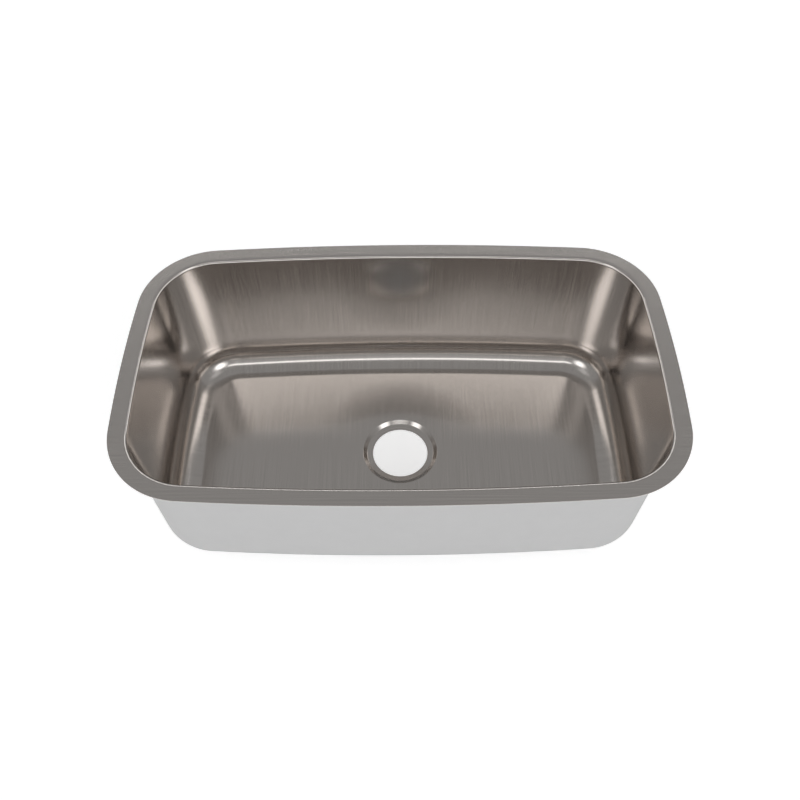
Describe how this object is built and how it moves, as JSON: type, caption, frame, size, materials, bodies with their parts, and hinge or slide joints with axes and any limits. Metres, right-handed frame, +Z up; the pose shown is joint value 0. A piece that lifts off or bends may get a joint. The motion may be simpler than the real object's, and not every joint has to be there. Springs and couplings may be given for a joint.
{
  "type": "undermount kitchen sink",
  "caption": "Single-bowl undermount kitchen sink, drawn in stainless steel with a flat bowed flange, rounded bowl, recessed centre drain and grey sound-deadening undercoat.",
  "frame": {"origin": "centre of the flange's top face, the face that is sealed against the worktop's underside", "axes": "+Z up, out of the bowl's mouth; +X along the sink's length, to the right as seen from its front; +Y towards its back"},
  "size_m": [0.8, 0.467, 0.2561],
  "materials": {
    "brushed_sheet": "satin brushed stainless steel",
    "undercoat": "flat sprayed coat, light grey",
    "sound_pad": "matte black rubber"
  },
  "bodies": {
    "root": {"bowl": "brushed_sheet", "undercoat": "undercoat", "sound_pad_left": "sound_pad", "sound_pad_right": "sound_pad"}
  },
  "joints": []
}
